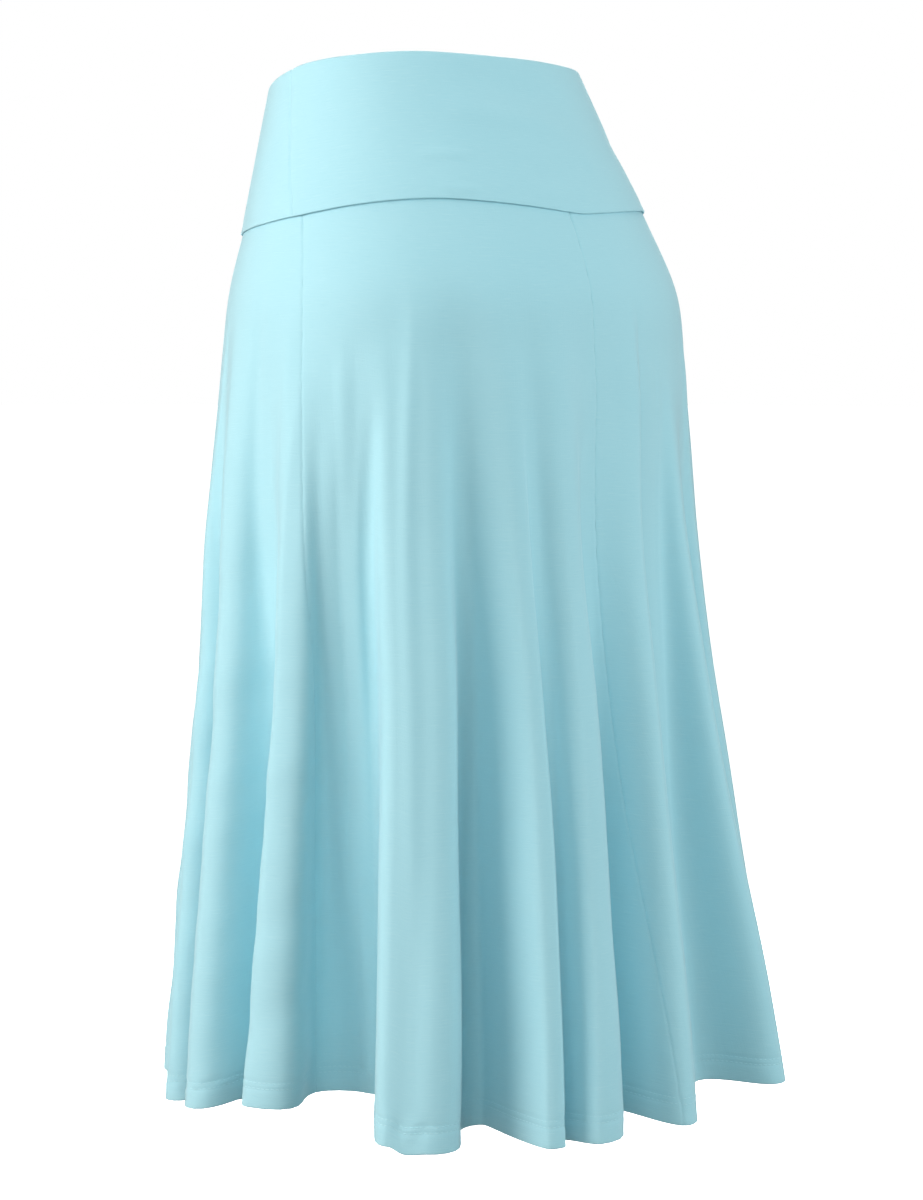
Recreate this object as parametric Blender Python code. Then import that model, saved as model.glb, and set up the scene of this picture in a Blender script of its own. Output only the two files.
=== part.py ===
"""Midi skirt: a flared jersey skirt on a deep fold-over waistband, filled out as worn.

Lengths in the tables are millimetres and become metres when a solid is made, with +Z up.
The origin is the middle of the waist, level with the highest point of the band's edge.
The front faces -Y and the wearer's left is +X.  An angle of 0 degrees is the centre front,
90 is the wearer's left side, and 180 is the centre back.  A drop is a distance below the origin.
"""
import math

import bpy
import numpy as np

METRES = 0.001

# Cloth
SKIRT_WALL = 1.4
HEM_WALL = 2.2
HEM_TURN = 20.0
BAND_WALL = 1.5
LEAF_GAP = 0.6
SEAM_GAP = 0.35

# Drops of the skirt's top edge, under the band, of its hem, and of where the folds take shape
SKIRT_TOP = 82.0
HEM_DROP = 688.0
FOLDS_FORM = 225.0

# How a fold grows on its way down: part of it eases in and out, and the rest grows evenly.
EASED_GROWTH = 0.35
EVEN_GROWTH_POWER = 0.95
LONGEST_GROWTH = 1.03
STEEPENING_POWER = 0.7

# Columns of points round the cloth.  Near a seam they slide along with it, in phase.
COLUMNS_PER_FOLD = 8
COLUMNS_ON_A_FLAT_TOP = 3
FLAT_TOP_SINK = -30.0
BAND_COLUMNS = 48
SEAM_SLIDE_REACH = 1.2
CLEAR_OF_SEAM = 0.05


def table(names, rows):
    """Return the rows of a table as one array for each named column."""
    return dict(zip(names.split(), np.array(rows, float).T))


# Level sections of the smooth body of the skirt: half width at the sides, how far the widest
# line lies behind the origin, and the depth from that line to the front and to the back.
# A square of 2 is an ellipse, and more is fuller at the corners.
SECTIONS = table("drop side middle front back square", [
    (0, 119, -3, 82, 80, 2.25),
    (52, 137, 6, 97, 96, 2.20),
    (104, 158, 17, 111, 110, 2.20),
    (156, 174, 23, 124, 124, 2.30),
    (198, 179, 22, 127, 130, 2.30),
    (250, 183, 21, 133, 135, 2.25),
    (312, 186, 20, 139, 141, 2.15),
    (416, 188, 21, 147, 154, 2.05),
    (520, 191, 22, 155, 168, 2.00),
    (624, 194, 25, 164, 183, 2.00),
    (700, 196, 27, 170, 192, 2.00),
])

# The band's top edge and its lower, folded edge, the same on both sides of the body.
BAND_EDGES = table("angle top lower", [
    (0, 20, 119),
    (30, 20, 118),
    (56, 18, 116.5),
    (74, 12, 113),
    (90, 6, 108.5),
    (112, 2.5, 101.5),
    (135, 0, 97.5),
    (157, 0, 99.5),
    (180, 0, 104),
])

# The skirt's seams run down the folds.  A phase of 6 is the crest of fold 6, and 6.5 the hollow
# after it, counting from 0.  The back seam starts in a hollow and ends on the crest beside it.
SKIRT_SEAMS = table("drop left back right", [
    (82, 5.12, 10.56, 15.75),
    (300, 5.13, 10.56, 15.75),
    (440, 5.27, 10.66, 15.75),
    (560, 5.33, 10.80, 15.75),
    (688, 5.35, 10.95, 15.75),
])

# Above the hips the cloth leans forward at both sides, by this many degrees.
LEAN = table("drop turn", [
    (82, 10.5),
    (115, 8),
    (175, 5.5),
    (225, 3.5),
    (300, 1),
    (360, 0),
    (688, 0),
])

# Angle of the band's side seams, mirrored on the right side.
BAND_SEAM_AT_TOP = 81.0
BAND_SEAM_AT_EDGE = 90.0
BAND_SEAM_RADIUS = 90.0

# One row for each fold.  Its crest is at one angle at the hem and at another where it begins,
# and the hollow after it is at the third.  Crest and hollow stand this far out of and sink this
# far into the smooth body at the hem, and the next three are the drops where the fold begins and
# of the hem at both.  Falls and climbs say how steep its sides are at the hem, down into the
# hollow and up to the next crest: 0 is an even slope, 1 is upright and more curls under.
# A hollow with a negative sink stays outside the smooth body, and one that sinks less than -30
# lies level with its crest, in the left half of a broad, flat-topped fold.
FOLDS = table("crest crest_at_top hollow stands sinks begins crest_hem hollow_hem falls climbs", [
    (1, 3, 12, 25, 28, 240, 688, 682, 0.9, 0.8),
    (24, 25, 35, 28, 30, 230, 690, 684, 1.1, 0.7),
    (43, 45, 51, 26, 24, 225, 688, 684, 0.7, 0.9),
    (57, 60, 65, 26, 24, 220, 696, 692, 0.8, 0.9),
    (72.5, 76.5, 84, 28, 32, 170, 688, 678, 0.9, 0.4),
    (91, 98.5, 104.5, 30, 36, 185, 674, 673, 2.0, 0.2),
    (109, 112, 111.5, -34, 34, 215, 673, 679, 0.2, 1.1),
    (117.5, 124.5, 121, 34, -33, 180, 687, 692, 0.2, 0.2),
    (124.5, 133.5, 134.5, 34, 31, 160, 691, 690, 1.3, -0.2),
    (144, 153, 148.5, 33, -8, 140, 690, 692, 2.4, 0.0),
    (152.5, 165.5, 162, 32, 20, 140, 690, 684, 2.0, 0.3),
    (171, 186, 177.5, 30, 20, 160, 689, 684, 1.7, 0.2),
    (193, 194, 197, -20, 20, 180, 688, 687, 0.2, 0.9),
    (206, 201, 214, 34, 28, 215, 690, 684, 0.9, 0.9),
    (225, 222, 233, 28, 30, 220, 688, 682, 1.1, 0.8),
    (244, 243, 254, 29, 34, 225, 690, 684, 1.4, 0.7),
    (265, 264, 275, 27, 30, 220, 686, 680, 0.8, 1.0),
    (286, 285, 295, 29, 33, 225, 689, 683, 0.9, 0.9),
    (305, 305, 315, 27, 30, 230, 687, 682, 1.2, 0.7),
    (325, 326, 334, 28, 31, 230, 690, 684, 0.8, 0.9),
    (343, 344, 352, 24, 27, 235, 687, 682, 0.8, 0.9),
])
FOLD_COUNT = len(FOLDS["crest"])

# Rows of points down a skirt panel, the last three round the step of the turned-up hem.
PANEL_DROPS = np.array([SKIRT_TOP, 106, 132, 160, 190, 222, 252, 288, 334, 390, 452, 518, 584, 638,
                        HEM_DROP - HEM_TURN - 1, HEM_DROP - HEM_TURN, HEM_DROP])

# The band is one sheet folded over its top edge.  Its rows run up the inner leaf from the
# skirt seam, over the top and down the outer leaf.  Part is the share of the leaf's depth,
# face is the side of the sheet that shows and core is the side inside the fold.
INNER, OUTER = 0, 1
BAND_ROWS = table("leaf part face core", [
    (INNER, 1.00, -BAND_WALL, 0),
    (INNER, 0.70, -BAND_WALL, 0),
    (INNER, 0.36, -BAND_WALL, 0),
    (INNER, 0.07, -BAND_WALL, 0),
    (INNER, 0.035, 0.1 - BAND_WALL, 0),
    (OUTER, 0.00, LEAF_GAP / 2, LEAF_GAP / 2),
    (OUTER, 0.025, LEAF_GAP + BAND_WALL - 0.1, LEAF_GAP),
    (OUTER, 0.055, LEAF_GAP + BAND_WALL, LEAF_GAP),
    (OUTER, 0.30, LEAF_GAP + BAND_WALL, LEAF_GAP),
    (OUTER, 0.60, LEAF_GAP + BAND_WALL, LEAF_GAP),
    (OUTER, 0.85, LEAF_GAP + BAND_WALL, LEAF_GAP),
    (OUTER, 0.985, LEAF_GAP + BAND_WALL, LEAF_GAP),
    (OUTER, 1.00, LEAF_GAP + 0.7 * BAND_WALL, LEAF_GAP + 0.3 * BAND_WALL),
])
TOP_FOLD_DEPTH = 2.0


def clear_scene():
    for item in list(bpy.data.objects):
        bpy.data.objects.remove(item, do_unlink=True)


def smooth_curve(at, values, where):
    """Pass a smooth curve through the rows of a table and read it anywhere."""
    slopes = np.gradient(values, at)
    where = np.clip(where, at[0], at[-1])
    row = np.clip(np.searchsorted(at, where, side="right") - 1, 0, len(at) - 2)
    step = at[row + 1] - at[row]
    part = (where - at[row]) / step
    return ((2 * part**3 - 3 * part**2 + 1) * values[row]
            + (part**3 - 2 * part**2 + part) * step * slopes[row]
            + (3 * part**2 - 2 * part**3) * values[row + 1]
            + (part**3 - part**2) * step * slopes[row + 1])


def ease(part):
    return part * part * (3 - 2 * part)


def body_point(angle, drop):
    """Return x and y of the smooth body at an angle in degrees."""
    side, middle, front, back, square = (
        smooth_curve(SECTIONS["drop"], SECTIONS[name], drop)
        for name in ("side", "middle", "front", "back", "square"))
    across = np.sin(np.radians(angle))
    along = np.cos(np.radians(angle))
    depth = np.where(along > 0, front, back)
    x = side * np.sign(across) * np.abs(across) ** (2 / square)
    y = middle - depth * np.sign(along) * np.abs(along) ** (2 / square)
    return x, y


def body_surface(angle, drop, out):
    """Return points that lie a distance out from the smooth body, level with the drop."""
    nudge = 0.05
    x, y = body_point(angle, drop)
    ahead_x, ahead_y = body_point(angle + nudge, drop)
    behind_x, behind_y = body_point(angle - nudge, drop)
    run_x, run_y = ahead_x - behind_x, ahead_y - behind_y
    length = np.hypot(run_x, run_y)
    return np.stack([x + out * run_y / length, y - out * run_x / length, -drop * np.ones_like(x)], -1)


def fold_growth(drop, begins):
    """Return how far a fold has grown: 0 where it begins and 1 at the hem."""
    part = np.clip((drop - begins) / (HEM_DROP - begins), 0, LONGEST_GROWTH)
    return EASED_GROWTH * ease(part) + (1 - EASED_GROWTH) * part**EVEN_GROWTH_POWER


def folded(phase, share):
    """Return the angle, the distance out and the drop of the folded cloth.

    A share is how far down the panel the point lies, from 0 at its top to 1 at the hem.
    """
    turns = np.floor(phase / FOLD_COUNT)
    phase = phase - turns * FOLD_COUNT
    this = np.minimum(np.floor(phase).astype(int), FOLD_COUNT - 1)
    after = (this + 1) % FOLD_COUNT
    lap = np.where(after == 0, 360, 0)
    falls = phase - this < 0.5
    part = np.where(falls, 2 * (phase - this), 2 * (phase - this) - 1)
    blend = ease(part)

    hem_from = np.where(falls, FOLDS["crest_hem"][this], FOLDS["hollow_hem"][this])
    hem_to = np.where(falls, FOLDS["hollow_hem"][this], FOLDS["crest_hem"][after])
    hem = hem_from + (hem_to - hem_from) * blend
    drop = SKIRT_TOP + share * (hem - SKIRT_TOP)

    lower = np.clip((drop - FOLDS_FORM) / (HEM_DROP - FOLDS_FORM), 0, 1)
    crest = FOLDS["crest_at_top"][this] * (1 - lower) + FOLDS["crest"][this] * lower
    crest_after = (FOLDS["crest_at_top"][after] * (1 - lower) + FOLDS["crest"][after] * lower) + lap
    hollow_place = ((FOLDS["hollow"] - FOLDS["crest"])[this]
                    / (FOLDS["crest"][after] + lap - FOLDS["crest"][this]))
    hollow = crest + hollow_place * (crest_after - crest)

    growth = fold_growth(drop, FOLDS["begins"][this])
    growth_after = fold_growth(drop, FOLDS["begins"][after])
    crest_out = FOLDS["stands"][this] * growth
    crest_after_out = FOLDS["stands"][after] * growth_after
    hollow_out = -FOLDS["sinks"][this] * (growth + growth_after) / 2

    begin = np.where(falls, crest, hollow)
    end = np.where(falls, hollow, crest_after)
    steep = np.where(falls, FOLDS["falls"][this], FOLDS["climbs"][this]) * lower**STEEPENING_POWER
    angle = begin + (end - begin) * (part + steep * np.sin(2 * np.pi * part) / (2 * np.pi))
    angle -= smooth_curve(LEAN["drop"], LEAN["turn"], drop) * np.sin(np.radians(angle))
    begin_out = np.where(falls, crest_out, hollow_out)
    end_out = np.where(falls, hollow_out, crest_after_out)
    return angle + 360 * turns, begin_out + (end_out - begin_out) * blend, drop


def cloth(phase, share):
    """Return points of the outer face of the skirt's cloth."""
    angle, out, drop = folded(phase, share)
    return body_surface(angle, drop, out)


def cloth_normal(phase, share):
    """Return the direction out of the cloth, worked out from points just beside each one."""
    nudge = 0.002
    along = cloth(phase + nudge, share) - cloth(phase - nudge, share)
    down = cloth(phase, np.minimum(share + nudge, 1)) - cloth(phase, np.maximum(share - nudge, 0))
    normal = np.cross(down, along)
    return normal / np.linalg.norm(normal, axis=-1, keepdims=True)


def seam_phase(seam, drop, side):
    """Return the phase of a panel's edge at a seam, half a gap to one side of it."""
    phase = smooth_curve(SKIRT_SEAMS["drop"], SKIRT_SEAMS[seam], drop)
    share = (drop - SKIRT_TOP) / (HEM_DROP - SKIRT_TOP)
    nudge = 0.01
    step = cloth(phase + nudge, share) - cloth(phase - nudge, share)
    length_of_phase = np.linalg.norm(step, axis=-1) / (2 * nudge)
    return phase + side * SEAM_GAP / 2 / length_of_phase


def fold_columns(begin, end):
    """Return the phases between two others where a grid has a column."""
    phases = []
    for fold in range(math.floor(begin), math.ceil(end)):
        flat = FOLDS["sinks"][fold % FOLD_COUNT] < FLAT_TOP_SINK
        count = COLUMNS_ON_A_FLAT_TOP if flat else COLUMNS_PER_FOLD
        phases += [fold + column / count for column in range(count)]
    return np.array([phase for phase in phases if begin < phase < end])


def panel_phases(first_seam, last_seam):
    """Return the phases of a panel's grid: columns that keep to the folds, but for the seams."""
    lap = FOLD_COUNT if first_seam == "right" else 0
    first = seam_phase(first_seam, PANEL_DROPS, 1)
    last = seam_phase(last_seam, PANEL_DROPS, -1) + lap
    inner = fold_columns(first[-1] + CLEAR_OF_SEAM, last[-1] - CLEAR_OF_SEAM)
    hem_row = np.concatenate([first[-1:], inner, last[-1:]])
    near_first = np.clip(1 - (hem_row - hem_row[0]) / SEAM_SLIDE_REACH, 0, 1)
    near_last = np.clip(1 - (hem_row[-1] - hem_row) / SEAM_SLIDE_REACH, 0, 1)
    return (hem_row + (first - first[-1])[:, None] * near_first
            + (last - last[-1])[:, None] * near_last)


def make_material(name, colour, roughness):
    material = bpy.data.materials.new(name)
    material.use_nodes = True
    shader = material.node_tree.nodes["Principled BSDF"]
    shader.inputs["Base Color"].default_value = (*colour, 1)
    shader.inputs["Roughness"].default_value = roughness
    shader.inputs["Metallic"].default_value = 0
    return material


def make_solid(name, face, back, material, parent):
    """Make one closed solid from two grids of points, the side that shows and the side behind."""
    rows, columns = face.shape[:2]
    points = np.concatenate([face.reshape(-1, 3), back.reshape(-1, 3)]) * METRES
    index = np.arange(2 * rows * columns).reshape(2, rows, columns)
    front, rear = index
    polygons = []
    for row in range(rows - 1):
        for column in range(columns - 1):
            for grid, order in ((front, 1), (rear, -1)):
                corners = (grid[row, column], grid[row + 1, column],
                           grid[row + 1, column + 1], grid[row, column + 1])
                polygons.append(corners[::order])
    for row in range(rows - 1):
        polygons.append((front[row, 0], rear[row, 0], rear[row + 1, 0], front[row + 1, 0]))
        polygons.append((front[row, -1], front[row + 1, -1], rear[row + 1, -1], rear[row, -1]))
    for column in range(columns - 1):
        polygons.append((front[0, column], front[0, column + 1], rear[0, column + 1], rear[0, column]))
        polygons.append((front[-1, column], rear[-1, column], rear[-1, column + 1], front[-1, column + 1]))
    mesh = bpy.data.meshes.new(name)
    mesh.from_pydata(points.tolist(), [], [[int(corner) for corner in polygon] for polygon in polygons])
    mesh.materials.append(material)
    mesh.shade_smooth()
    mesh.set_sharp_from_angle(angle=math.radians(50))
    item = bpy.data.objects.new(name, mesh)
    item.parent = parent
    bpy.context.scene.collection.objects.link(item)
    return item


def make_skirt_panel(name, first_seam, last_seam, material, parent):
    """Make a flared panel of the skirt that runs from one seam round to the next."""
    phases = panel_phases(first_seam, last_seam)
    shares = (PANEL_DROPS - SKIRT_TOP) / (HEM_DROP - SKIRT_TOP)
    grid_shares = np.broadcast_to(shares[:, None], phases.shape)
    face = cloth(phases, grid_shares)
    wall = np.where(PANEL_DROPS >= HEM_DROP - HEM_TURN, HEM_WALL, SKIRT_WALL)
    back = face - cloth_normal(phases, grid_shares) * wall[:, None, None]
    back[0, :, 2] = face[0, :, 2]
    return make_solid(name, face, back, material, parent)


def band_side(angle, out_column, core):
    """Return one side of the folded band at the given angles, row by row."""
    mirrored = np.abs((angle + 180) % 360 - 180)
    top = smooth_curve(BAND_EDGES["angle"], BAND_EDGES["top"], mirrored)
    lower = smooth_curve(BAND_EDGES["angle"], BAND_EDGES["lower"], mirrored)
    outer = (BAND_ROWS["leaf"] == OUTER)[:, None]
    bottom = np.where(outer, lower, SKIRT_TOP - SEAM_GAP)
    drop = top + BAND_ROWS["part"][:, None] * (bottom - top)
    if core:
        drop = np.maximum(drop, top + TOP_FOLD_DEPTH)
        folded_edge = BAND_ROWS["part"][:, None] == 1
        drop = np.where(folded_edge & outer, lower, drop)
    return body_surface(angle, drop, np.broadcast_to(out_column[:, None], angle.shape))


def make_band_half(name, first_seam, last_seam, material, parent):
    """Make half of the fold-over band, from one side seam round to the other."""
    seam = BAND_SEAM_AT_TOP + BAND_ROWS["part"] * (BAND_SEAM_AT_EDGE - BAND_SEAM_AT_TOP)
    clearance = math.degrees(SEAM_GAP / 2 / BAND_SEAM_RADIUS)
    places = {"left": seam, "right": 360 - seam}
    lap = 360 if first_seam == "right" else 0
    first = places[first_seam] + clearance
    last = places[last_seam] + lap - clearance
    across = np.linspace(0, 1, BAND_COLUMNS + 1)
    angles = first[:, None] + (last - first)[:, None] * across
    face = band_side(angles, BAND_ROWS["face"], core=False)
    core = band_side(angles, BAND_ROWS["core"], core=True)
    return make_solid(name, face, core, material, parent)


def make_skirt():
    clear_scene()
    waist = bpy.data.objects.new("waist", None)
    bpy.context.scene.collection.objects.link(waist)
    aqua = (0.44, 0.74, 0.79)
    make_skirt_panel("skirt_front", "right", "left",
                     make_material("front jersey", aqua, 0.75), waist)
    make_skirt_panel("skirt_back_left", "left", "back",
                     make_material("left back jersey", aqua, 0.75), waist)
    make_skirt_panel("skirt_back_right", "back", "right",
                     make_material("right back jersey", aqua, 0.75), waist)
    make_band_half("band_front", "right", "left",
                   make_material("front band jersey", aqua, 0.72), waist)
    make_band_half("band_back", "left", "right",
                   make_material("back band jersey", aqua, 0.72), waist)


make_skirt()
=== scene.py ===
"""Looks of the midi skirt: pale aqua slub jersey in place of the plain solids of the frame.

The tables are in millimetres, as the part's own are, and the form in them is the part's form.
The front faces -Y and the wearer's left is +X.  An angle of 0 degrees is the centre front,
90 is the wearer's left side, and 180 is the centre back.  A drop is a distance below the origin.
"""

import math

import bpy
import numpy as np
from mathutils import Matrix


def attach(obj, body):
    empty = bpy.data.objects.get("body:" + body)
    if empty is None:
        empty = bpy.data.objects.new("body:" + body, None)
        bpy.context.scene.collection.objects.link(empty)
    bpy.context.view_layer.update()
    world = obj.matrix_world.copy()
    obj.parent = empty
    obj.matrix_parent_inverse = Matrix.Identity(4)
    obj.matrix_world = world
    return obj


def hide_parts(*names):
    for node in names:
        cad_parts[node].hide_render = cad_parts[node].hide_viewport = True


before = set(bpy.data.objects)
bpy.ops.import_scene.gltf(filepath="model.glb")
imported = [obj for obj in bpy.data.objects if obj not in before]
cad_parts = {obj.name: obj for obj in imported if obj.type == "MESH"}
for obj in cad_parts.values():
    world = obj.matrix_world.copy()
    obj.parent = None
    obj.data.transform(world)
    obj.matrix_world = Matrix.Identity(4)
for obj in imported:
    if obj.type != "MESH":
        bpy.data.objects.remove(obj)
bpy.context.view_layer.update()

METRES = 0.001

# Cloth
JERSEY = 0.9
BAND_JERSEY = 1.2
SEAM_GAP = 0.04

# Drops of the skirt's top edge, under the band, of its hem, and of where the folds take shape
SKIRT_TOP = 82.0
HEM_DROP = 688.0
FOLDS_FORM = 225.0

# How a fold grows on its way down: part of it eases in and out, and the rest grows evenly.
EASED_GROWTH = 0.35
EVEN_GROWTH_POWER = 0.95
LONGEST_GROWTH = 1.03
STEEPENING_POWER = 0.7


def table(names, rows):
    """Return the rows of a table as one array for each named column."""
    return dict(zip(names.split(), np.array(rows, float).T))


# Level sections of the smooth body of the skirt: half width at the sides, how far the widest
# line lies behind the origin, and the depth from that line to the front and to the back.
# A square of 2 is an ellipse, and more is fuller at the corners.
SECTIONS = table("drop side middle front back square", [
    (0, 119, -3, 82, 80, 2.25),
    (52, 137, 6, 97, 96, 2.20),
    (104, 158, 17, 111, 110, 2.20),
    (156, 174, 23, 124, 124, 2.30),
    (198, 179, 22, 127, 130, 2.30),
    (250, 183, 21, 133, 135, 2.25),
    (312, 186, 20, 139, 141, 2.15),
    (416, 188, 21, 147, 154, 2.05),
    (520, 191, 22, 155, 168, 2.00),
    (624, 194, 25, 164, 183, 2.00),
    (700, 196, 27, 170, 192, 2.00),
])

# The band's top edge and its lower, folded edge, the same on both sides of the body.
BAND_EDGES = table("angle top lower", [
    (0, 20, 119),
    (30, 20, 118),
    (56, 18, 116.5),
    (74, 12, 113),
    (90, 6, 108.5),
    (112, 2.5, 101.5),
    (135, 0, 97.5),
    (157, 0, 99.5),
    (180, 0, 104),
])

# The skirt's seams run down the folds.  A phase of 6 is the crest of fold 6, and 6.5 the hollow
# after it, counting from 0.  The back seam starts in a hollow and ends on the crest beside it.
SKIRT_SEAMS = table("drop left back right", [
    (82, 5.12, 10.56, 15.75),
    (300, 5.13, 10.56, 15.75),
    (440, 5.27, 10.66, 15.75),
    (560, 5.33, 10.80, 15.75),
    (688, 5.35, 10.95, 15.75),
])

# Above the hips the cloth leans forward at both sides, by this many degrees.
LEAN = table("drop turn", [
    (82, 10.5),
    (115, 8),
    (175, 5.5),
    (225, 3.5),
    (300, 1),
    (360, 0),
    (688, 0),
])

# Angle of the band's side seams, mirrored on the right side.
BAND_SEAM_AT_TOP = 81.0
BAND_SEAM_AT_EDGE = 90.0
BAND_SEAM_RADIUS = 90.0

# One row for each fold.  Its crest is at one angle at the hem and at another where it begins,
# and the hollow after it is at the third.  Crest and hollow stand this far out of and sink this
# far into the smooth body at the hem, and the next three are the drops where the fold begins and
# of the hem at both.  Falls and climbs say how steep its sides are at the hem, down into the
# hollow and up to the next crest: 0 is an even slope, 1 is upright and more curls under.
# A hollow with a negative sink stays outside the smooth body, and one that sinks less than -30
# lies level with its crest, in the left half of a broad, flat-topped fold.
FOLDS = table("crest crest_at_top hollow stands sinks begins crest_hem hollow_hem falls climbs", [
    (1, 3, 12, 25, 28, 240, 688, 682, 0.9, 0.8),
    (24, 25, 35, 28, 30, 230, 690, 684, 1.1, 0.7),
    (43, 45, 51, 26, 24, 225, 688, 684, 0.7, 0.9),
    (57, 60, 65, 26, 24, 220, 696, 692, 0.8, 0.9),
    (72.5, 76.5, 84, 28, 32, 170, 688, 678, 0.9, 0.4),
    (91, 98.5, 104.5, 30, 36, 185, 674, 673, 2.0, 0.2),
    (109, 112, 111.5, -34, 34, 215, 673, 679, 0.2, 1.1),
    (117.5, 124.5, 121, 34, -33, 180, 687, 692, 0.2, 0.2),
    (124.5, 133.5, 134.5, 34, 31, 160, 691, 690, 1.3, -0.2),
    (144, 153, 148.5, 33, -8, 140, 690, 692, 2.4, 0.0),
    (152.5, 165.5, 162, 32, 20, 140, 690, 684, 2.0, 0.3),
    (171, 186, 177.5, 30, 20, 160, 689, 684, 1.7, 0.2),
    (193, 194, 197, -20, 20, 180, 688, 687, 0.2, 0.9),
    (206, 201, 214, 34, 28, 215, 690, 684, 0.9, 0.9),
    (225, 222, 233, 28, 30, 220, 688, 682, 1.1, 0.8),
    (244, 243, 254, 29, 34, 225, 690, 684, 1.4, 0.7),
    (265, 264, 275, 27, 30, 220, 686, 680, 0.8, 1.0),
    (286, 285, 295, 29, 33, 225, 689, 683, 0.9, 0.9),
    (305, 305, 315, 27, 30, 230, 687, 682, 1.2, 0.7),
    (325, 326, 334, 28, 31, 230, 690, 684, 0.8, 0.9),
    (343, 344, 352, 24, 27, 235, 687, 682, 0.8, 0.9),
])
FOLD_COUNT = len(FOLDS["crest"])

# Soft creases, each from one place to another.  The bend is in degrees to the side at its
# middle, the width is half its breadth, and a negative height is a trough.
SKIRT_CREASES = table("angle drop to_angle to_drop bend width height", [
    (82, 140, 85, 430, 0, 6, -1.6),
    (92, 150, 93, 380, 0, 7, 1.2),
    (96.5, 190, 94, 520, 0, 4.5, 0.7),
    (105, 200, 105.5, 620, 0, 10, 3.4),
    (114, 205, 113, 560, 0, 6, 1.2),
    (117.5, 205, 115, 450, 0, 6, -1.6),
    (127, 130, 123.5, 600, 0.3, 6, 1.8),
    (118.4, 470, 116.3, 686, 0, 1.6, 0.5),
    (216, 150, 219, 430, 0.4, 6, 1.6),
    (239, 170, 243, 400, 0, 5, 1.3),
    (256, 200, 254, 420, 0.3, 4.5, -1.2),
    (283, 150, 285, 430, -0.4, 6, 1.5),
    (308, 180, 306, 400, 0, 5, 1.2),
    (331, 160, 328, 380, 0.3, 5, -1.2),
    (350, 190, 352, 420, 0, 4.5, 1.2),
    (15, 150, 13, 420, 0.4, 6, 1.6),
    (35, 180, 36, 360, 0.5, 5, -1.2),
    (62, 160, 60, 400, 0.3, 5, 1.3),
])
BAND_CREASES = table("angle drop to_angle to_drop bend width height", [
    (130, 69, 150, 69, 0, 1.6, 1.5),
    (136, 92, 151, 91, 0, 1.4, 1.4),
    (138, 37, 190, 47, 0, 8, 1.4),
    (146, 15, 194, 27, 0, 9, -1.0),
    (164, 84, 192, 70, 0, 8, -0.8),
    (212, 50, 236, 54, 0, 9, -0.8),
    (254, 86, 268, 89, 0, 1.8, 0.7),
    (292, 44, 318, 48, 0, 10, -0.8),
    (334, 66, 352, 68, 0, 1.8, 0.7),
    (18, 88, 38, 86, 0, 2.0, 0.8),
    (58, 70, 72, 73, 0, 1.8, 0.6),
])

# Rows of points down a panel's face
ROW_STEP = 4.2
FINE_ROW_STEP = 1.3
FINE_ROWS_FROM = 28.0

# Columns of points round the cloth, and the extra ones beside a seam
COLUMNS_PER_FOLD = 24
SEAM_COLUMNS = np.array([0, 0.35, 0.75, 1.2, 1.8, 2.6, 3.8, 5.5, 8.0])
SEAM_SLIDE_REACH = 1.2

# Mean radius of the skirt and of the band, for the lengths of their creases
SKIRT_RADIUS = 165.0
BAND_RADIUS = 130.0

# From here down the cloth hangs free of the body
HANGS_FREE_FROM = 150.0

# The groove of a seam, and the pucker beside it
SEAM_SINKS = 0.3
SEAM_ROLL = 1.0
PUCKER_REACH = 7.0
PUCKER_DEPTH = 0.12
PUCKER_LENGTH = 17.0
PUCKER_SHIFT = 60.0
SEAM_HOLDS_WITHIN = 9.0
SEAM_PULLED_AT = 100.0
SEAM_PULLED_WITHIN = 22.0

# The turned-up hem, and its two rows of stitches, this far above the edge
HEM_TURN = 20.0
HEM_STITCH_ROWS = (13.0, 17.5)
STITCH_SINKS = 0.3
STITCH_GROOVE = 1.3
STITCH_LENGTH = 2.7
STITCH_PITCH = 3.3
STITCH_THICKNESS = 0.42
STITCH_SIDES = 6
STITCHES_CLEAR_OF_SEAM = 3.0
HEM_RIPPLE = 0.45
HEM_RIPPLE_REACH = 7.0
EDGE_STEPS = 6


def smooth_curve(at, values, where):
    """Pass a smooth curve through the rows of a table and read it anywhere."""
    slopes = np.gradient(values, at)
    where = np.clip(where, at[0], at[-1])
    row = np.clip(np.searchsorted(at, where, side="right") - 1, 0, len(at) - 2)
    step = at[row + 1] - at[row]
    part = (where - at[row]) / step
    return ((2 * part**3 - 3 * part**2 + 1) * values[row]
            + (part**3 - 2 * part**2 + part) * step * slopes[row]
            + (3 * part**2 - 2 * part**3) * values[row + 1]
            + (part**3 - part**2) * step * slopes[row + 1])


def ease(part):
    return part * part * (3 - 2 * part)


def body_point(angle, drop):
    """Return x and y of the smooth body at an angle in degrees."""
    side, middle, front, back, square = (
        smooth_curve(SECTIONS["drop"], SECTIONS[name], drop)
        for name in ("side", "middle", "front", "back", "square"))
    across = np.sin(np.radians(angle))
    along = np.cos(np.radians(angle))
    depth = np.where(along > 0, front, back)
    x = side * np.sign(across) * np.abs(across) ** (2 / square)
    y = middle - depth * np.sign(along) * np.abs(along) ** (2 / square)
    return x, y


def body_surface(angle, drop, out):
    """Return points that lie a distance out from the smooth body, level with the drop."""
    nudge = 0.05
    x, y = body_point(angle, drop)
    ahead_x, ahead_y = body_point(angle + nudge, drop)
    behind_x, behind_y = body_point(angle - nudge, drop)
    run_x, run_y = ahead_x - behind_x, ahead_y - behind_y
    length = np.hypot(run_x, run_y)
    return np.stack([x + out * run_y / length, y - out * run_x / length, -drop * np.ones_like(x)], -1)


def fold_growth(drop, begins):
    """Return how far a fold has grown: 0 where it begins and 1 at the hem."""
    part = np.clip((drop - begins) / (HEM_DROP - begins), 0, LONGEST_GROWTH)
    return EASED_GROWTH * ease(part) + (1 - EASED_GROWTH) * part**EVEN_GROWTH_POWER


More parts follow.
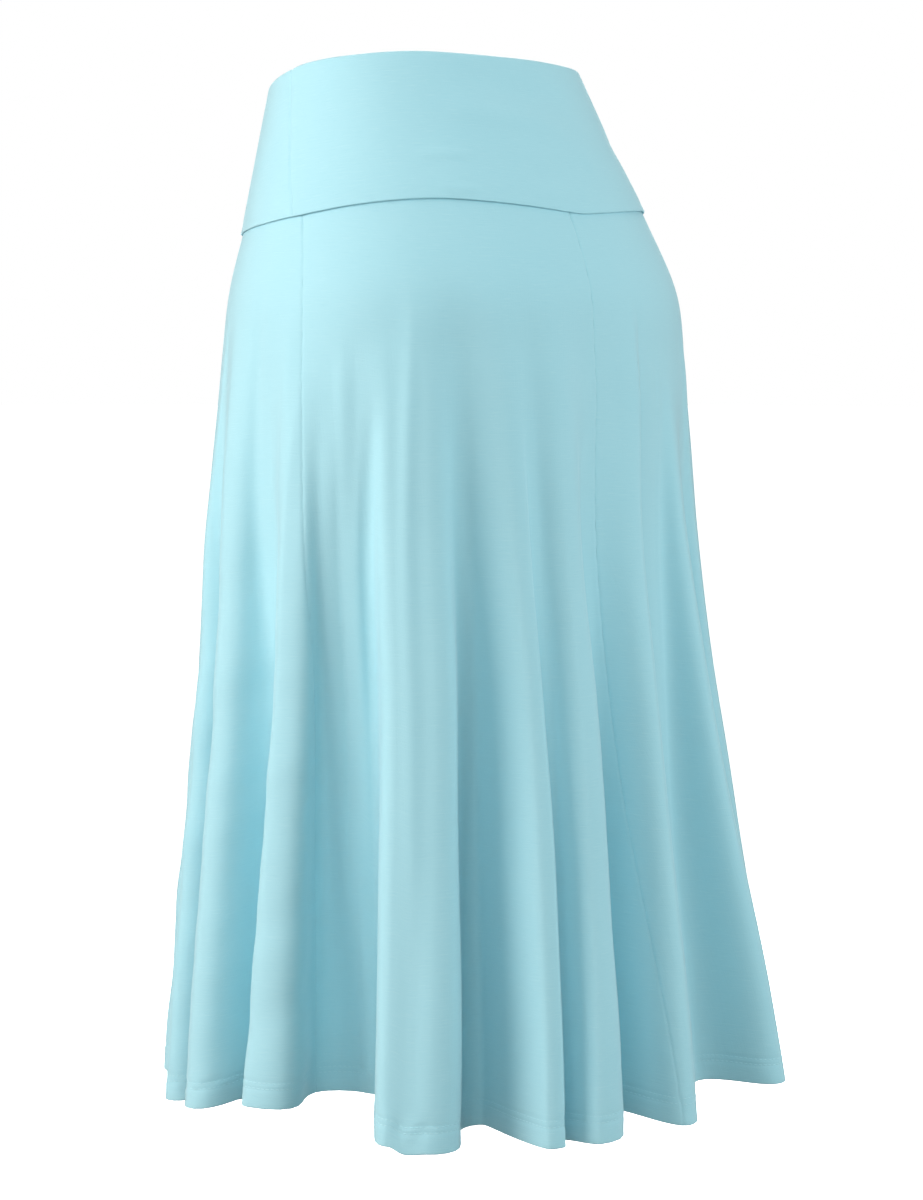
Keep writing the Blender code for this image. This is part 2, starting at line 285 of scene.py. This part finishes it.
def folded(phase, share):
    """Return the angle, the distance out and the drop of the folded cloth.

    A share is how far down the panel the point lies, from 0 at its top to 1 at the hem.
    """
    turns = np.floor(phase / FOLD_COUNT)
    phase = phase - turns * FOLD_COUNT
    this = np.minimum(np.floor(phase).astype(int), FOLD_COUNT - 1)
    after = (this + 1) % FOLD_COUNT
    lap = np.where(after == 0, 360, 0)
    falls = phase - this < 0.5
    part = np.where(falls, 2 * (phase - this), 2 * (phase - this) - 1)
    blend = ease(part)

    hem_from = np.where(falls, FOLDS["crest_hem"][this], FOLDS["hollow_hem"][this])
    hem_to = np.where(falls, FOLDS["hollow_hem"][this], FOLDS["crest_hem"][after])
    hem = hem_from + (hem_to - hem_from) * blend
    drop = SKIRT_TOP + share * (hem - SKIRT_TOP)

    lower = np.clip((drop - FOLDS_FORM) / (HEM_DROP - FOLDS_FORM), 0, 1)
    crest = FOLDS["crest_at_top"][this] * (1 - lower) + FOLDS["crest"][this] * lower
    crest_after = (FOLDS["crest_at_top"][after] * (1 - lower) + FOLDS["crest"][after] * lower) + lap
    hollow_place = ((FOLDS["hollow"] - FOLDS["crest"])[this]
                    / (FOLDS["crest"][after] + lap - FOLDS["crest"][this]))
    hollow = crest + hollow_place * (crest_after - crest)

    growth = fold_growth(drop, FOLDS["begins"][this])
    growth_after = fold_growth(drop, FOLDS["begins"][after])
    crest_out = FOLDS["stands"][this] * growth
    crest_after_out = FOLDS["stands"][after] * growth_after
    hollow_out = -FOLDS["sinks"][this] * (growth + growth_after) / 2

    begin = np.where(falls, crest, hollow)
    end = np.where(falls, hollow, crest_after)
    steep = np.where(falls, FOLDS["falls"][this], FOLDS["climbs"][this]) * lower**STEEPENING_POWER
    angle = begin + (end - begin) * (part + steep * np.sin(2 * np.pi * part) / (2 * np.pi))
    angle -= smooth_curve(LEAN["drop"], LEAN["turn"], drop) * np.sin(np.radians(angle))
    begin_out = np.where(falls, crest_out, hollow_out)
    end_out = np.where(falls, hollow_out, crest_after_out)
    return angle + 360 * turns, begin_out + (end_out - begin_out) * blend, drop


def cloth(phase, share):
    """Return points of the outer face of the skirt's cloth."""
    angle, out, drop = folded(phase, share)
    return body_surface(angle, drop, out)


def seam_phase(seam, drop, side, away=0.0):
    """Return the phase at a distance to one side of a seam, beyond half its gap."""
    phase = smooth_curve(SKIRT_SEAMS["drop"], SKIRT_SEAMS[seam], drop)
    share = (drop - SKIRT_TOP) / (HEM_DROP - SKIRT_TOP)
    nudge = 0.01
    step = cloth(phase + nudge, share) - cloth(phase - nudge, share)
    length_of_phase = np.linalg.norm(step, axis=-1) / (2 * nudge)
    return phase + side * (SEAM_GAP / 2 + away) / length_of_phase


# Relief of the cloth, in millimetres out from its form
def creases(rows, angle, drop, girth_of_degree):
    """Return the relief of the creases of a table."""
    relief = np.zeros_like(drop)
    for row in range(len(rows["angle"])):
        from_angle, from_drop, to_angle, to_drop, bend, width, height = (
            rows[name][row] for name in ("angle", "drop", "to_angle", "to_drop", "bend", "width", "height"))
        run = np.array([(to_angle - from_angle) * girth_of_degree, to_drop - from_drop])
        length = np.hypot(*run)
        ahead = run / length
        across = (((angle - from_angle + 180) % 360) - 180) * girth_of_degree
        down = drop - from_drop
        along = (across * ahead[0] + down * ahead[1]) / length
        inside = np.clip(along, 0, 1)
        aside = across * ahead[1] - down * ahead[0] - bend * girth_of_degree * np.sin(np.pi * inside)
        ends = ease(np.clip(4 * inside, 0, 1)) * ease(np.clip(4 * (1 - inside), 0, 1))
        relief += height * ends * np.exp(-(aside / width) ** 2)
    return relief


def unevenness(along, down):
    """Return the slight unevenness of cloth that hangs free."""
    waves = table("across down start height", [
        (0.031, 0.011, 0.4, 0.30),
        (0.047, -0.017, 2.1, 0.22),
        (0.019, 0.023, 4.0, 0.25),
        (0.083, 0.009, 1.3, 0.12),
        (-0.067, 0.031, 5.2, 0.10),
    ])
    relief = np.zeros_like(down)
    for row in range(len(waves["across"])):
        relief += waves["height"][row] * np.sin(
            waves["across"][row] * along + waves["down"][row] * down + waves["start"][row])
    return relief


def seam_relief(away, down, deeper_at_top):
    """Return how the cloth turns down into a seam, with its pucker."""
    groove = -SEAM_SINKS * (1 + deeper_at_top) * np.exp(-(away / SEAM_ROLL) ** 2)
    swell = np.sin(2 * np.pi * down / PUCKER_LENGTH + 1.3 * np.sin(down / 41.0))
    pucker = PUCKER_DEPTH * swell * np.exp(-(away / PUCKER_REACH) ** 2)
    return groove + pucker


def free_of_seams(along):
    """Return 0 at both seams of a panel, so that its neighbours meet it there, and 1 away from them."""
    from_first = 1 - np.exp(-(along / SEAM_HOLDS_WITHIN) ** 2)
    from_last = 1 - np.exp(-((along[:, -1:] - along) / SEAM_HOLDS_WITHIN) ** 2)
    return from_first * from_last


def hem_relief(along, above_edge):
    """Return the grooves of the hem's stitches and the ripple that they draw up."""
    relief = np.zeros_like(along)
    for row in HEM_STITCH_ROWS:
        relief -= STITCH_SINKS * np.exp(-((above_edge - row) / STITCH_GROOVE) ** 2)
    middle = sum(HEM_STITCH_ROWS) / len(HEM_STITCH_ROWS)
    ripple = (np.sin(along / 3.1 + 1.7 * np.sin(along / 23.0)) * (0.6 + 0.4 * np.sin(along / 61.0))
              + 0.5 * np.sin(along / 5.3 + 0.9))
    return relief + HEM_RIPPLE * ripple * np.exp(-((above_edge - middle) / HEM_RIPPLE_REACH) ** 2)


# Grids of points
def panel_drops():
    """Return the drops of the rows down a panel's face, finer over the hem."""
    fine_from = HEM_DROP - FINE_ROWS_FROM
    coarse = np.linspace(SKIRT_TOP, fine_from, round((fine_from - SKIRT_TOP) / ROW_STEP) + 1)
    fine = np.linspace(fine_from, HEM_DROP - JERSEY, round(FINE_ROWS_FROM / FINE_ROW_STEP) + 1)
    return np.concatenate([coarse[:-1], fine])


def panel_phases(first_seam, last_seam, drops):
    """Return the phases of a panel's grid: even columns, and extra ones beside both seams."""
    lap = FOLD_COUNT if first_seam == "right" else 0
    beside_first = np.stack([seam_phase(first_seam, drops, 1, away) for away in SEAM_COLUMNS], 1)
    beside_last = np.stack([seam_phase(last_seam, drops, -1, away) for away in SEAM_COLUMNS], 1) + lap
    first, last = beside_first[:, -1], beside_last[:, -1]
    count = round((last[-1] - first[-1]) * COLUMNS_PER_FOLD)
    hem_row = np.linspace(first[-1], last[-1], count + 1)[1:-1]
    near_first = np.clip(1 - (hem_row - first[-1]) / SEAM_SLIDE_REACH, 0, 1)
    near_last = np.clip(1 - (last[-1] - hem_row) / SEAM_SLIDE_REACH, 0, 1)
    inner = (hem_row + (first - first[-1])[:, None] * near_first
             + (last - last[-1])[:, None] * near_last)
    return np.concatenate([beside_first, inner, beside_last[:, ::-1]], 1)


def unit(vectors):
    return vectors / np.linalg.norm(vectors, axis=-1, keepdims=True)


def grid_directions(points):
    """Return the direction down the grid and the direction out of it, at every point."""
    down = unit(np.gradient(points, axis=0))
    along = np.gradient(points, axis=1)
    return down, unit(np.cross(down, along))


def lengths_along(points, axis):
    """Return the distance of every point from the first one of its row or column."""
    steps = np.linalg.norm(np.diff(points, axis=axis), axis=-1)
    return np.concatenate([np.zeros_like(steps.take([0], axis)), np.cumsum(steps, axis=axis)], axis)


def cut_coordinates(points):
    """Return each point's place on the flat cut, from the middle of the piece's top edge."""
    along = lengths_along(points, 1)
    middle = points.shape[1] // 2
    down = lengths_along(points, 0)
    return np.stack([along - along[:, middle:middle + 1], -down[:, middle:middle + 1] + 0 * down], -1)


# Pieces
def make_shell(name, layers, places, material):
    """Make one thin closed shell from the rows of points round the cloth's cross-section.

    The rows run down the face, round the edge and up the back.  Places are their points on the cut.
    """
    rows, columns = layers.shape[:2]
    index = np.arange(rows * columns).reshape(rows, columns)
    polygons = []
    for row in range(rows):
        below = (row + 1) % rows
        for column in range(columns - 1):
            polygons.append((index[row, column], index[below, column],
                             index[below, column + 1], index[row, column + 1]))
    half = rows // 2
    for row in range(half):
        mate, mate_below = rows - 1 - row, rows - 2 - row
        if mate_below <= row:
            break
        if mate_below == row + 1:
            polygons.append((index[row, 0], index[mate, 0], index[row + 1, 0]))
            polygons.append((index[row, -1], index[row + 1, -1], index[mate, -1]))
            break
        polygons.append((index[row, 0], index[mate, 0], index[mate_below, 0], index[row + 1, 0]))
        polygons.append((index[row, -1], index[row + 1, -1], index[mate_below, -1], index[mate, -1]))
    polygons = [[int(corner) for corner in polygon] for polygon in polygons]
    mesh = bpy.data.meshes.new(name)
    mesh.from_pydata((layers.reshape(-1, 3) * METRES).tolist(), [], polygons)
    cut = mesh.uv_layers.new(name="cut")
    corners = np.empty(len(mesh.loops), int)
    mesh.loops.foreach_get("vertex_index", corners)
    cut.data.foreach_set("uv", (places.reshape(-1, 2) * METRES)[corners].ravel())
    mesh.materials.append(material)
    mesh.shade_smooth()
    mesh.set_sharp_from_angle(angle=math.radians(60))
    piece = bpy.data.objects.new(name, mesh)
    bpy.context.scene.collection.objects.link(piece)
    return piece


def panel_face(first_seam, last_seam):
    """Return a panel's outer face with all its relief, and its places on the cut."""
    drops = panel_drops()
    phases = panel_phases(first_seam, last_seam, drops)
    shares = np.broadcast_to(((drops - SKIRT_TOP) / (HEM_DROP - SKIRT_TOP))[:, None], phases.shape)
    angle, out, drop = folded(phases, shares)
    form = body_surface(angle, drop, out)
    _, outward = grid_directions(form)
    places = cut_coordinates(form)
    along = lengths_along(form, 1)
    degree = math.radians(1) * SKIRT_RADIUS
    relief = creases(SKIRT_CREASES, angle, drop, degree)
    free = free_of_seams(along)
    hangs = np.clip(drop / HANGS_FREE_FROM - 1, 0.2, 1)
    relief += unevenness(along, drop) * hangs * free
    at_top = np.exp(-((drop - SEAM_PULLED_AT) / SEAM_PULLED_WITHIN) ** 2)
    relief += seam_relief(along, drop, at_top)
    relief += seam_relief(along[:, -1:] - along, drop + PUCKER_SHIFT, at_top)
    relief += hem_relief(along, (HEM_DROP - SKIRT_TOP) * (1 - shares)) * free
    return form + outward * relief[..., None], places


def make_panel(name, first_seam, last_seam, material):
    """Make a flared panel, single above its hem and double in it."""
    face, places = panel_face(first_seam, last_seam)
    down, outward = grid_directions(face)
    turns = np.linspace(0, math.pi, EDGE_STEPS + 1)[1:-1]
    edge = [face[-1] + down[-1] * JERSEY * math.sin(turn) - outward[-1] * JERSEY * (1 - math.cos(turn))
            for turn in turns]
    above_edge = (HEM_DROP - panel_drops())[:, None, None]
    single = face - outward * JERSEY
    double = face - outward * 2 * JERSEY
    back = np.where(above_edge < HEM_TURN, double, single)
    layers = np.concatenate([face, edge, back[::-1]])
    edge_places = np.repeat(places[-1:], len(edge), 0)
    return make_shell(name, layers, np.concatenate([places, edge_places, places[::-1]]), material)


def make_hem_stitches(name, first_seam, last_seam, material):
    """Make the two rows of short stitches of a panel's hem, as separate threads."""
    face, _ = panel_face(first_seam, last_seam)
    down, outward = grid_directions(face)
    drops = panel_drops()
    around = np.linspace(0, 2 * math.pi, STITCH_SIDES, endpoint=False)
    stations = table("place size sinks", [
        (-0.5, 0.25, 0.30),
        (-0.3, 0.9, 0.04),
        (0, 1.0, 0.0),
        (0.3, 0.9, 0.04),
        (0.5, 0.25, 0.30),
    ])
    points, polygons = [], []
    for above_edge in HEM_STITCH_ROWS:
        row = int(np.argmin(np.abs(HEM_DROP - above_edge - drops)))
        line = face[row]
        length = lengths_along(line[None], 1)[0]
        starts = np.arange(STITCHES_CLEAR_OF_SEAM, length[-1] - STITCHES_CLEAR_OF_SEAM, STITCH_PITCH)
        for start in starts:
            first = len(points)
            for place, size, sinks in zip(stations["place"], stations["size"], stations["sinks"]):
                at = start + place * STITCH_LENGTH
                centre = np.array([np.interp(at, length, line[:, axis]) for axis in range(3)])
                out = np.array([np.interp(at, length, outward[row, :, axis]) for axis in range(3)])
                side = np.array([np.interp(at, length, down[row, :, axis]) for axis in range(3)])
                radius = STITCH_THICKNESS / 2 * size
                middle = centre + out * (0.4 * STITCH_THICKNESS / 2 - sinks)
                for turn in around:
                    points.append(middle + radius * (math.cos(turn) * out + 1.15 * math.sin(turn) * side))
            ring = len(around)
            for station in range(len(stations["place"]) - 1):
                for corner in range(ring):
                    a = first + station * ring + corner
                    b = first + station * ring + (corner + 1) % ring
                    polygons.append((a, b, b + ring, a + ring))
            polygons.append(tuple(range(first + ring - 1, first - 1, -1)))
            last = first + ring * (len(stations["place"]) - 1)
            polygons.append(tuple(range(last, last + ring)))
    mesh = bpy.data.meshes.new(name)
    mesh.from_pydata((np.array(points) * METRES).tolist(), [], polygons)
    mesh.materials.append(material)
    mesh.shade_smooth()
    piece = bpy.data.objects.new(name, mesh)
    bpy.context.scene.collection.objects.link(piece)
    return piece


# The band is one sheet that runs up inside, over its top edge and down outside.
INNER_LEAF_OUT = -0.9
OUTER_LEAF_OUT = 1.5
BAND_COLUMN_STEP = 2.6
BAND_LEAF_ROWS = 34
BAND_TOP_STEPS = 8
BAND_CLEAR_OF_SKIRT = 0.35
BAND_UNEVENNESS = 0.4
BAND_WAVES_CLOSER = 1.3
EDGE_ROLL = 0.3
EDGE_ROLL_REACH = 3.0
EDGE_LIES_IN = 0.6
EDGE_LIES_IN_REACH = 7.0
BAND_SEAM_GROOVE = 1.3


def band_sheet(first_seam, last_seam):
    """Return points down the middle of the folded sheet, the way out of it, and what lies where."""
    top_rows = np.linspace(-90, 90, BAND_TOP_STEPS + 1)[1:-1]
    parts = np.linspace(0, 1, BAND_LEAF_ROWS)
    rows = [("inner", part) for part in parts[::-1]]
    rows += [("over", turn) for turn in top_rows]
    rows += [("outer", part) for part in parts]
    share = np.array([0 if leaf == "over" else part for leaf, part in rows])
    seam = BAND_SEAM_AT_TOP + share * (BAND_SEAM_AT_EDGE - BAND_SEAM_AT_TOP)
    clearance = math.degrees(SEAM_GAP / 2 / BAND_SEAM_RADIUS)
    edges = {"left": seam, "right": 360 - seam}
    lap = 360 if first_seam == "right" else 0
    first = edges[first_seam] + clearance
    last = edges[last_seam] + lap - clearance
    degree = math.radians(1) * BAND_RADIUS
    span = last[-1] - first[-1]
    beside = SEAM_COLUMNS / degree / span
    count = round(span * degree / BAND_COLUMN_STEP)
    even = np.linspace(beside[-1], 1 - beside[-1], count)
    across = np.concatenate([beside, even[1:-1], 1 - beside[::-1]])
    angle = first[:, None] + (last - first)[:, None] * across
    mirrored = np.abs((angle + 180) % 360 - 180)
    top = smooth_curve(BAND_EDGES["angle"], BAND_EDGES["top"], mirrored)
    lower = smooth_curve(BAND_EDGES["angle"], BAND_EDGES["lower"], mirrored)
    radius = (OUTER_LEAF_OUT - INNER_LEAF_OUT) / 2
    fold_out = (OUTER_LEAF_OUT + INNER_LEAF_OUT) / 2
    outs, drops = [], []
    for row, (leaf, part) in enumerate(rows):
        if leaf == "over":
            turn = math.radians(part)
            outs.append(fold_out + radius * math.sin(turn) + 0 * top[row])
            drops.append(top[row] + radius * (1 - math.cos(turn)) + BAND_JERSEY / 2)
        else:
            bottom = SKIRT_TOP - BAND_CLEAR_OF_SKIRT if leaf == "inner" else lower[row]
            start = top[row] + radius + BAND_JERSEY / 2
            outs.append((INNER_LEAF_OUT if leaf == "inner" else OUTER_LEAF_OUT) + 0 * top[row])
            drops.append(start + part * (bottom - BAND_JERSEY / 2 - start))
    outs, drops = np.array(outs), np.array(drops)
    above_edge = lower - drops
    outer_leaf = (np.arange(len(rows)) > len(rows) // 2)[:, None]
    outs -= EDGE_LIES_IN * np.exp(-(above_edge / EDGE_LIES_IN_REACH) ** 2) * outer_leaf
    return body_surface(angle, drops, outs), angle, drops, above_edge


def make_band(name, first_seam, last_seam, material):
    """Make half of the fold-over band, from one side seam round to the other."""
    sheet, angle, drop, above_edge = band_sheet(first_seam, last_seam)
    _, outward = grid_directions(sheet)
    places = cut_coordinates(sheet)
    along = lengths_along(sheet, 1)
    rows = len(sheet)
    on_outer_leaf = (np.arange(rows) > rows // 2)[:, None]
    degree = math.radians(1) * BAND_RADIUS
    relief = creases(BAND_CREASES, angle, drop, degree)
    relief += BAND_UNEVENNESS * unevenness(along * BAND_WAVES_CLOSER, drop) * free_of_seams(along)
    relief *= on_outer_leaf
    relief += seam_relief(along, drop, 0) * BAND_SEAM_GROOVE
    relief += seam_relief(along[:, -1:] - along, drop, 0) * BAND_SEAM_GROOVE
    relief += EDGE_ROLL * np.exp(-(above_edge / EDGE_ROLL_REACH) ** 2) * on_outer_leaf
    half = BAND_JERSEY / 2
    face = sheet + outward * (half + relief)[..., None]
    back = sheet + outward * (relief - half)[..., None]
    down, outward = grid_directions(face)
    turns = np.linspace(0, math.pi, EDGE_STEPS + 1)[1:-1]
    edge = [face[-1] + down[-1] * half * math.sin(turn) - outward[-1] * half * (1 - math.cos(turn))
            for turn in turns]
    layers = np.concatenate([face, edge, back[::-1]])
    edge_places = np.repeat(places[-1:], len(edge), 0)
    return make_shell(name, layers, np.concatenate([places, edge_places, places[::-1]]), material)


# Materials
class Value:
    """A number that varies over a surface.  Sums with it add Math nodes to its material."""

    def __init__(self, finish, socket):
        self.finish = finish
        self.socket = socket

    def maths(self, operation, *values):
        return self.finish.node("ShaderNodeMath", {"operation": operation}, dict(enumerate(values)))

    def __add__(self, other):
        return self.maths("ADD", self, other)

    def __sub__(self, other):
        return self.maths("SUBTRACT", self, other)

    def __mul__(self, other):
        return self.maths("MULTIPLY", self, other)

    def __radd__(self, other):
        return self.maths("ADD", other, self)

    def __rsub__(self, other):
        return self.maths("SUBTRACT", other, self)

    def __rmul__(self, other):
        return self.maths("MULTIPLY", other, self)

    def clipped(self):
        return self.finish.node("ShaderNodeClamp", {}, {"Value": self})


class Finish:
    """A material in the making, with its Principled shader."""

    def __init__(self, name):
        self.material = bpy.data.materials.new(name)
        self.material.use_nodes = True
        self.tree = self.material.node_tree
        self.shader = self.tree.nodes["Principled BSDF"]

    def node(self, kind, settings, sockets, output=0):
        """Add a node, with its settings first, and return one of its outputs."""
        made = self.tree.nodes.new(kind)
        for name, setting in settings.items():
            setattr(made, name, setting)
        for name, value in sockets.items():
            self.feed(made.inputs[name], value)
        return Value(self, made.outputs[output])

    def feed(self, socket, value):
        if isinstance(value, Value):
            self.tree.links.new(value.socket, socket)
        else:
            socket.default_value = value

    def mix(self, factor, first, second):
        """Blend two colours."""
        return self.node("ShaderNodeMix", {"data_type": "RGBA"},
                         {"Factor": factor, 6: first, 7: second}, output=2)

    def scaled(self, place, across, down):
        return self.node("ShaderNodeVectorMath", {"operation": "MULTIPLY"},
                         {0: place, 1: (across, down, 1.0)})

    def noise(self, place, across, down, detail=2.0, roughness=0.5):
        """Return noise whose grains are this long across and down, in millimetres."""
        stretched = self.scaled(place, 1 / (across * METRES), 1 / (down * METRES))
        return self.node("ShaderNodeTexNoise", {"noise_dimensions": "2D"},
                         {"Vector": stretched, "Scale": 1.0, "Detail": detail, "Roughness": roughness})


AQUA = (0.368, 0.71, 0.795, 1)
AQUA_PALE = (0.43, 0.76, 0.83, 1)
AQUA_DEEP = (0.295, 0.635, 0.735, 1)


def slub_jersey(name, slubs):
    """A fine jersey with thicker places in its yarn, which lie across as short dashes."""
    finish = Finish(name)
    place = finish.node("ShaderNodeUVMap", {"uv_map": "cut"}, {})
    dashes = finish.noise(place, 11.0, 0.8, detail=1.0)
    long_dashes = finish.noise(place, 30.0, 1.1, detail=1.0)
    wales = finish.noise(place, 0.9, 40.0, detail=1.0)
    raised = ((dashes - 0.63) * 7).clipped()
    raised_long = ((long_dashes - 0.62) * 6).clipped()
    thin = ((0.36 - dashes) * 6).clipped()
    loops = finish.noise(place, 0.7, 0.9, detail=0.0)
    cloudy = finish.noise(place, 60.0, 45.0, detail=1.0)
    colour = finish.mix(0.35 * (cloudy - 0.5) + 0.5, AQUA_DEEP, AQUA_PALE)
    colour = finish.mix(0.8, colour, AQUA)
    colour = finish.mix(slubs * 0.55 * raised, colour, AQUA_PALE)
    colour = finish.mix(slubs * 0.35 * raised_long, colour, AQUA_PALE)
    colour = finish.mix(slubs * 0.4 * thin, colour, AQUA_DEEP)
    height = 0.5 * loops + 0.8 * wales + slubs * (raised + 0.6 * raised_long - 0.3 * thin)
    bump = finish.node("ShaderNodeBump", {}, {"Strength": 0.35, "Distance": 0.00016, "Height": height})
    finish.feed(finish.shader.inputs["Base Color"], colour)
    finish.feed(finish.shader.inputs["Roughness"], 0.78 - 0.08 * raised)
    finish.feed(finish.shader.inputs["Normal"], bump)
    finish.shader.inputs["Sheen Weight"].default_value = 0.8
    finish.shader.inputs["Sheen Tint"].default_value = (0.72, 0.95, 1.0, 1)
    finish.shader.inputs["Sheen Roughness"].default_value = 0.45
    finish.shader.inputs["Specular IOR Level"].default_value = 0.25
    return finish.material


def thread_finish(name):
    """Polyester thread, a little brighter than the cloth, with a fine twist."""
    finish = Finish(name)
    place = finish.node("ShaderNodeTexCoord", {}, {}, output=3)
    twist = finish.node("ShaderNodeTexNoise", {}, {"Vector": place, "Scale": 2200.0, "Detail": 1.0})
    finish.feed(finish.shader.inputs["Base Color"], finish.mix(twist, AQUA, AQUA_PALE))
    bump = finish.node("ShaderNodeBump", {}, {"Strength": 0.4, "Distance": 0.0001, "Height": twist})
    finish.feed(finish.shader.inputs["Normal"], bump)
    finish.shader.inputs["Roughness"].default_value = 0.5
    return finish.material


# Floor, lights and camera
FLOOR_DROP = 1.05
CAMERA_AZIMUTH = 130.0
CAMERA_DISTANCE = 1.965
CAMERA_HEIGHT = -0.198
CAMERA_TURN = 0.566
CAMERA_TIP = 4.90
CAMERA_LENS = 85.0
LIGHT_DISTANCE = 2.3
LIT_MIDDLE = -0.32


def camera_directions():
    """Return the camera's right, up and back directions, and its place."""
    azimuth = math.radians(CAMERA_AZIMUTH)
    towards = np.array([-math.sin(azimuth), math.cos(azimuth), 0])
    right = np.array([math.cos(azimuth), math.sin(azimuth), 0])
    place = -towards * CAMERA_DISTANCE
    place[2] = CAMERA_HEIGHT
    turn, tip = math.radians(CAMERA_TURN), math.radians(CAMERA_TIP)
    level = towards * math.cos(turn) + right * math.sin(turn)
    right = right * math.cos(turn) - towards * math.sin(turn)
    forward = level * math.cos(tip) - np.array([0, 0, math.sin(tip)])
    up = np.cross(right, forward)
    return right, up, -forward, place


def placed(item, right, up, back, place):
    rotation = Matrix([right.tolist(), up.tolist(), back.tolist()]).transposed()
    item.matrix_world = Matrix.Translation(place.tolist()) @ rotation.to_4x4()
    bpy.context.scene.collection.objects.link(item)


def make_camera():
    lens = bpy.data.cameras.new("camera")
    lens.lens = CAMERA_LENS
    lens.clip_start = 0.05
    lens.clip_end = 50
    camera = bpy.data.objects.new("camera", lens)
    placed(camera, *camera_directions())
    bpy.context.scene.camera = camera


def make_soft_light(name, from_right, from_above, width, brightness, tint=(1, 1, 1)):
    """Shine a round soft light on the skirt, from this many degrees to the camera's right and up."""
    azimuth = math.radians(CAMERA_AZIMUTH + from_right)
    height = math.radians(from_above)
    back = np.array([math.sin(azimuth) * math.cos(height),
                     -math.cos(azimuth) * math.cos(height), math.sin(height)])
    right = np.cross([0, 0, 1], back)
    right /= np.linalg.norm(right)
    light = bpy.data.lights.new(name, "AREA")
    light.shape = "DISK"
    light.size = width
    light.color = tint
    light.energy = brightness * math.pi**2 * (LIGHT_DISTANCE**2 + (width / 2) ** 2)
    place = np.array([0, 0, LIT_MIDDLE]) + LIGHT_DISTANCE * back
    placed(bpy.data.objects.new(name, light), right, np.cross(back, right), back, place)


def make_floor():
    """Lay a wide pale floor below the worn skirt."""
    mesh = bpy.data.meshes.new("floor")
    half = 40.0
    corners = [(-half, -half), (half, -half), (half, half), (-half, half)]
    mesh.from_pydata([(x, y, -FLOOR_DROP) for x, y in corners], [], [(0, 1, 2, 3)])
    finish = Finish("pale floor")
    finish.shader.inputs["Base Color"].default_value = (0.93, 0.93, 0.93, 1)
    finish.shader.inputs["Roughness"].default_value = 0.9
    finish.shader.inputs["Emission Color"].default_value = (1, 1, 1, 1)
    finish.shader.inputs["Emission Strength"].default_value = 1.0
    mesh.materials.append(finish.material)
    floor = bpy.data.objects.new("floor", mesh)
    floor.visible_diffuse = False
    bpy.context.scene.collection.objects.link(floor)


def make_white_room(light_from_above, light_from_below):
    """Light the skirt from all round, less from below, in a room that the camera sees as white."""
    world = bpy.data.worlds.new("studio")
    world.use_nodes = True
    nodes, links = world.node_tree.nodes, world.node_tree.links
    direction = nodes.new("ShaderNodeTexCoord")
    heights = nodes.new("ShaderNodeSeparateXYZ")
    links.new(direction.outputs["Generated"], heights.inputs["Vector"])
    strength = nodes.new("ShaderNodeMapRange")
    strength.inputs["From Min"].default_value = -0.6
    strength.inputs["From Max"].default_value = 0.6
    strength.inputs["To Min"].default_value = light_from_below
    strength.inputs["To Max"].default_value = light_from_above
    links.new(heights.outputs["Z"], strength.inputs["Value"])
    soft = nodes["Background"]
    soft.inputs["Color"].default_value = (1, 1, 1, 1)
    links.new(strength.outputs["Result"], soft.inputs["Strength"])
    white = nodes.new("ShaderNodeBackground")
    white.inputs["Color"].default_value = (1, 1, 1, 1)
    white.inputs["Strength"].default_value = 1.0
    seen = nodes.new("ShaderNodeLightPath")
    mixed = nodes.new("ShaderNodeMixShader")
    links.new(seen.outputs["Is Camera Ray"], mixed.inputs["Fac"])
    links.new(soft.outputs["Background"], mixed.inputs[1])
    links.new(white.outputs["Background"], mixed.inputs[2])
    links.new(mixed.outputs["Shader"], nodes["World Output"].inputs["Surface"])
    bpy.context.scene.world = world


def make_studio():
    make_camera()
    make_floor()
    make_soft_light("left_light", -66, 19, 2.0, 0.97, tint=(1, 0.84, 0.80))
    make_soft_light("right_light", 80, 16, 2.2, 0.54)
    make_soft_light("front_light", -6, 18, 2.2, 0.30)
    make_soft_light("far_light", 180, 14, 1.6, 0.60)
    make_soft_light("top_light", 0, 84, 1.8, 0.08)
    make_white_room(0.22, 0.10)
    bpy.context.scene.view_settings.view_transform = "Standard"


# One row for each panel and each half of the band: its node, its seams, and its flat cut.
PANELS = [
    ("front_panel", "skirt_front", "right", "left", "front_hem_stitches", (1.51, 0.61), 0.517),
    ("left_back_panel", "skirt_back_left", "left", "back", "left_hem_stitches", (0.52, 0.62), 0.194),
    ("right_back_panel", "skirt_back_right", "back", "right", "right_hem_stitches", (0.62, 0.61), 0.228),
]
BANDS = [
    ("front_band", "band_front", "right", "left", (0.45, 0.16), 0.062),
    ("back_band", "band_back", "left", "right", (0.43, 0.20), 0.078),
]


def make_skirt():
    thread = thread_finish("hem thread")
    for name, node, first_seam, last_seam, stitches_name, flat, area in PANELS:
        panel = make_panel(name, first_seam, last_seam, slub_jersey(name.replace("_", " ") + " jersey", 0.5))
        stitches = make_hem_stitches(stitches_name, first_seam, last_seam, thread)
        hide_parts(node)
        for piece in (panel, stitches):
            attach(piece, "root")
    for name, node, first_seam, last_seam, flat, area in BANDS:
        band = make_band(name, first_seam, last_seam, slub_jersey(name.replace("_", " ") + " jersey", 0.55))
        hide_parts(node)
        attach(band, "root")


make_studio()
make_skirt()
